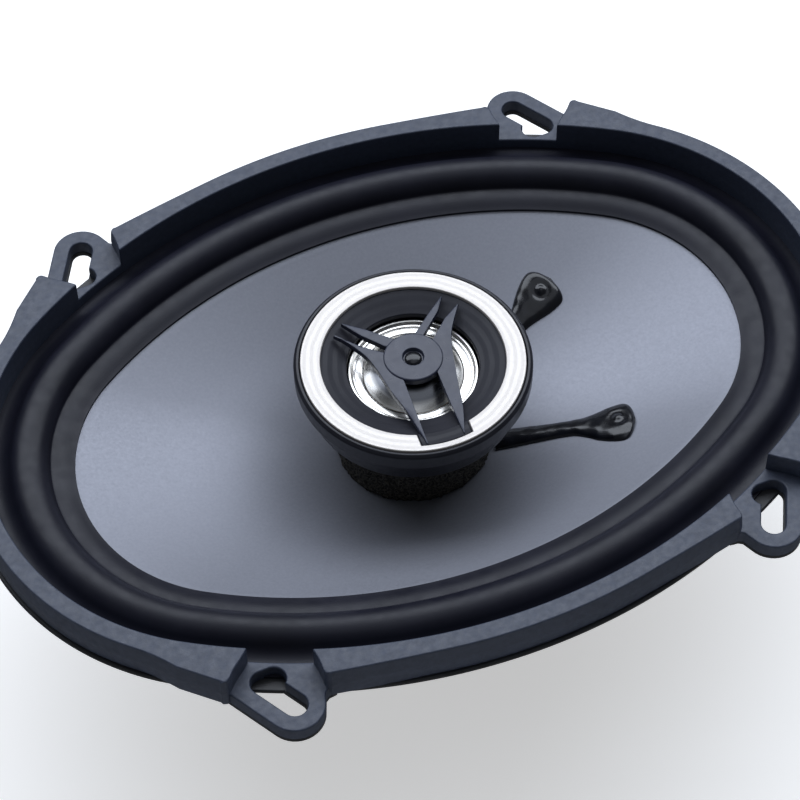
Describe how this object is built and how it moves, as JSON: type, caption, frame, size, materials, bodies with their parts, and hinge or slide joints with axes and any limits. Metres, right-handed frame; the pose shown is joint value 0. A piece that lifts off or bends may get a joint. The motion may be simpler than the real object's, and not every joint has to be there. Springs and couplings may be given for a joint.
{
  "type": "coaxial car speaker",
  "caption": "Oval coaxial car speaker: steel basket with slotted ears, moulded trim ring, rubber surround, silver-grey cone, pole-mounted dome tweeter and ferrite motor.",
  "frame": {"origin": "middle of the four flange slots, on the flange's rear (mounting) face", "axes": "+X along the oval's long axis towards the terminals, +Y along its short axis, +Z out of the cone towards the listener"},
  "size_m": [0.205, 0.1462, 0.072],
  "materials": {
    "black_steel": "black powder coat on pressed steel",
    "trim_plastic": "matte dark blue-grey moulded plastic, fine texture",
    "surround_rubber": "black butyl rubber, soft sheen",
    "cone_poly": "silver-grey metallised polypropylene",
    "coil_former": "bare aluminium former",
    "copper": "copper",
    "spider_cloth": "resin-treated cotton, corrugated",
    "cement": "glossy black cement",
    "brass": "brass",
    "plated_steel": "zinc-plated steel",
    "ferrite": "ground ferrite",
    "rivet_steel": "plated steel",
    "post_plastic": "black moulded plastic",
    "foam": "black open-cell foam",
    "housing_plastic": "black satin plastic",
    "silver_trim": "fine brushed bright silver",
    "gloss_black": "gloss black plastic",
    "dome_metal": "polished metal dome",
    "tweeter_rubber": "black",
    "ring_metal": "polished clamp ring",
    "fibre_board": "brown phenolic fibre board",
    "tab_brass": "tinned brass",
    "capacitor_sleeve": "dark sleeve",
    "wire_insulation": "black PVC insulation"
  },
  "bodies": {
    "frame": {"basket": "black_steel", "trim_ring": "trim_plastic", "surround": "surround_rubber", "spider": "spider_cloth", "tinsel_leads": "copper", "top_plate": "plated_steel", "ferrite_magnet": "ferrite", "back_plate": "plated_steel", "plate_rivets": "rivet_steel", "tweeter_post": "post_plastic", "post_nut": "brass", "foam_dust_ring": "foam", "tweeter_housing": "housing_plastic", "silver_ring": "silver_trim", "tweeter_funnel": "housing_plastic", "tweeter_guard": "gloss_black", "tweeter_surround": "tweeter_rubber", "diaphragm_ring": "ring_metal", "tweeter_pole_cup": "plated_steel", "tweeter_magnet": "rivet_steel", "tweeter_pole_plate": "plated_steel", "terminal_board": "fibre_board", "terminal_positive": "tab_brass", "terminal_negative": "tab_brass", "terminal_rivets": "brass", "board_rivet": "rivet_steel", "capacitor": "capacitor_sleeve", "tweeter_wires": "wire_insulation"},
    "cone_assembly": {"cone": "cone_poly", "voice_coil_former": "coil_former", "voice_coil_winding": "copper", "coil_lead_cement": "cement", "cone_eyelets": "brass"},
    "tweeter_diaphragm": {"tweeter_dome": "dome_metal", "tweeter_voice_coil": "copper"}
  },
  "joints": [
    {"name": "cone_travel", "type": "slide", "parent": "frame", "child": "cone_assembly", "axis": [0, 0, 1], "range_m": [-0.004, 0.004], "stiffness_N_per_m": 2500, "deforming": ["surround", "spider", "foam_dust_ring", "tinsel_leads"]},
    {"name": "dome_travel", "type": "slide", "parent": "frame", "child": "tweeter_diaphragm", "axis": [0, 0, 1], "range_m": [-0.0003, 0.0003], "stiffness_N_per_m": 100, "deforming": ["tweeter_surround"]}
  ]
}
